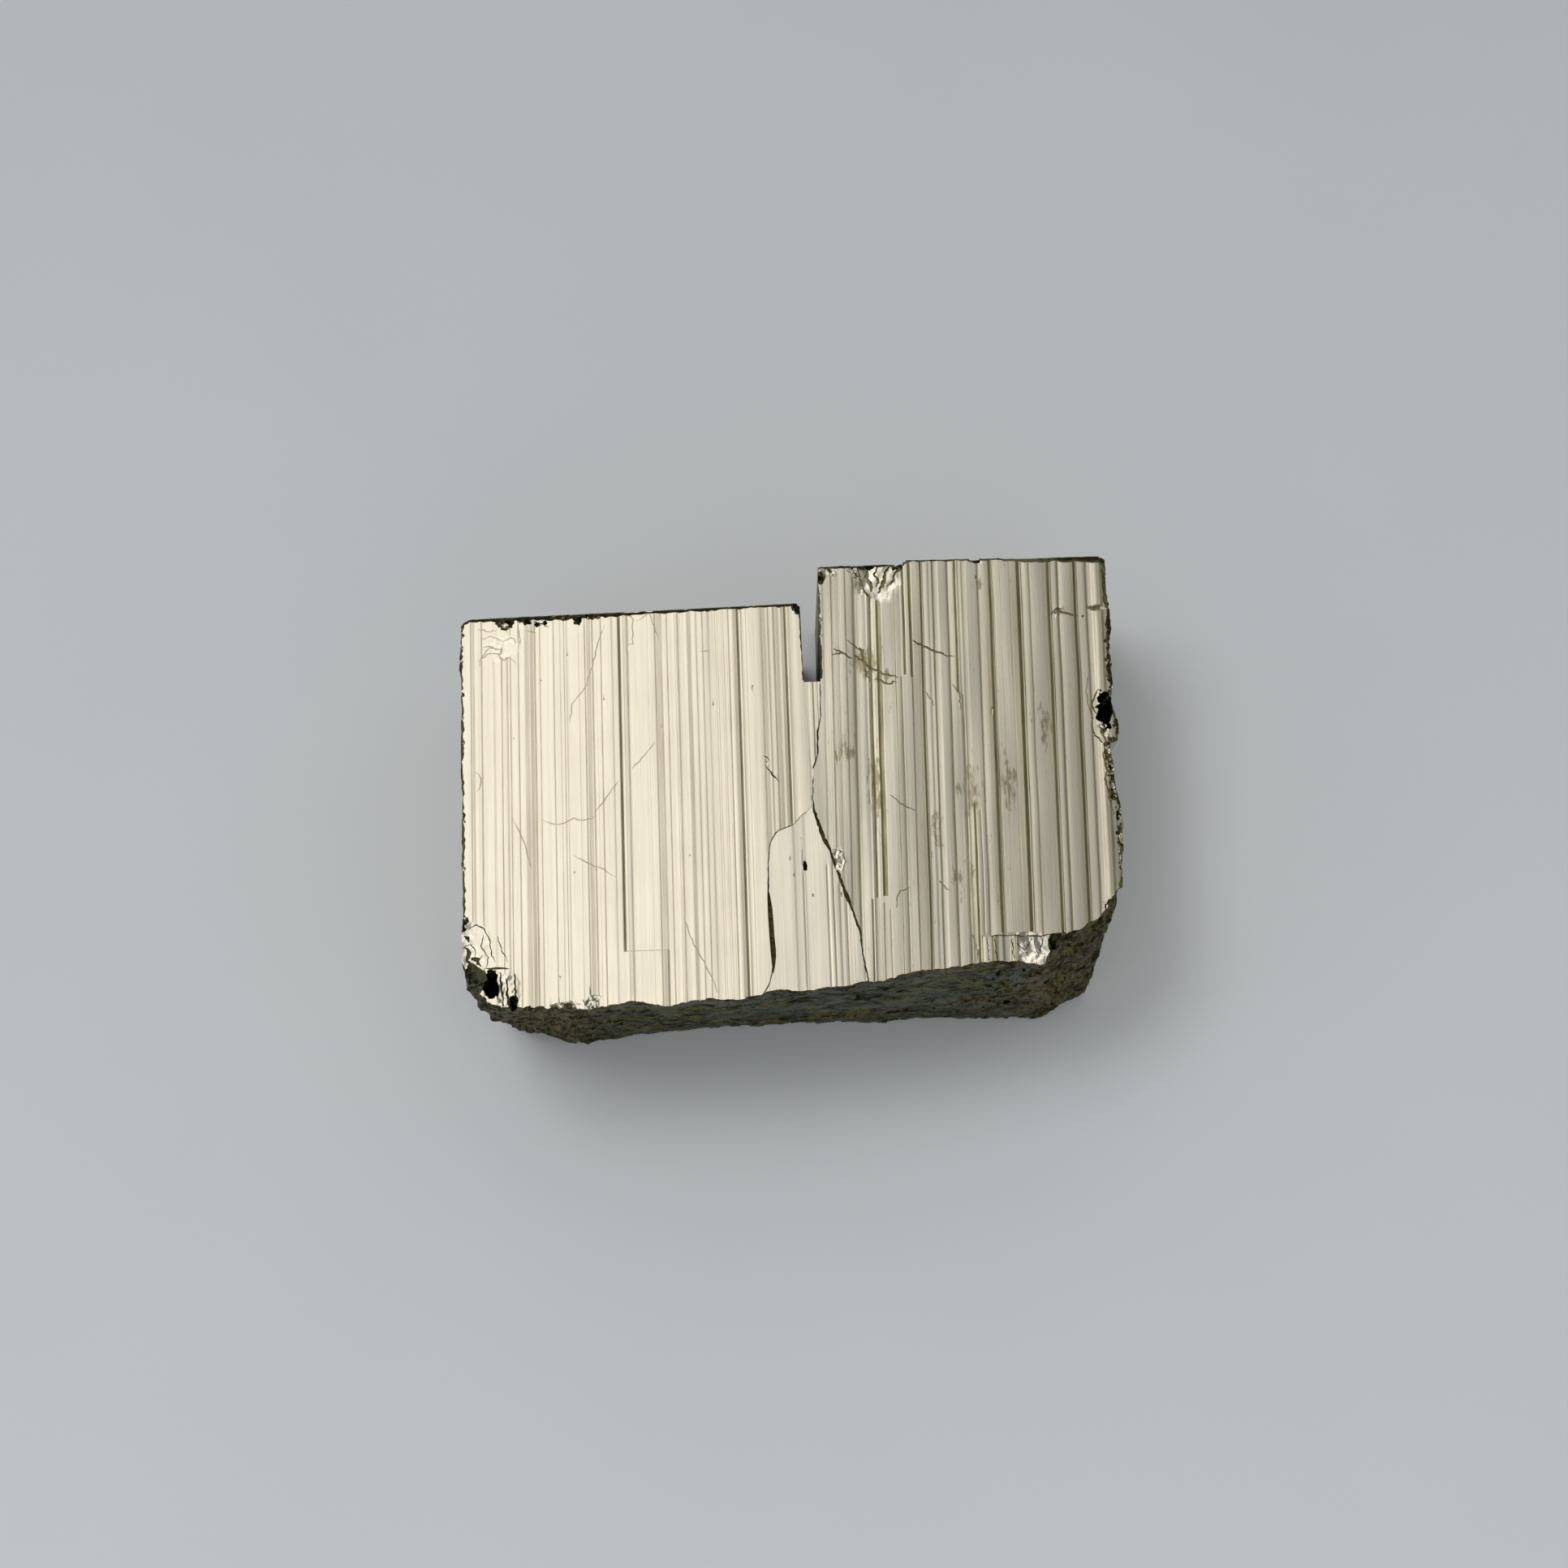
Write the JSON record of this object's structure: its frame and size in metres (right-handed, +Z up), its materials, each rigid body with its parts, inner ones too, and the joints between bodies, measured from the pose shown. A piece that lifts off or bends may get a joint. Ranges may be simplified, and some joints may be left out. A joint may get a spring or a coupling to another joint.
{
  "type": "pyrite cluster",
  "caption": "Cluster of intergrown striated pyrite crystals with flat tops, a narrow notch between them and a rough broken front.",
  "frame": {"origin": "centre of the cluster's box in plan, on the surface that it rests on", "axes": "+X along the cluster's length, towards the crystal that stands further back; +Y to the back, away from the broken front; +Z up, out of the striated tops"},
  "size_m": [0.0402, 0.0276, 0.0142],
  "materials": {
    "pyrite": "gloss"
  },
  "bodies": {
    "root": {"pyrite_cluster": "pyrite"}
  },
  "joints": []
}
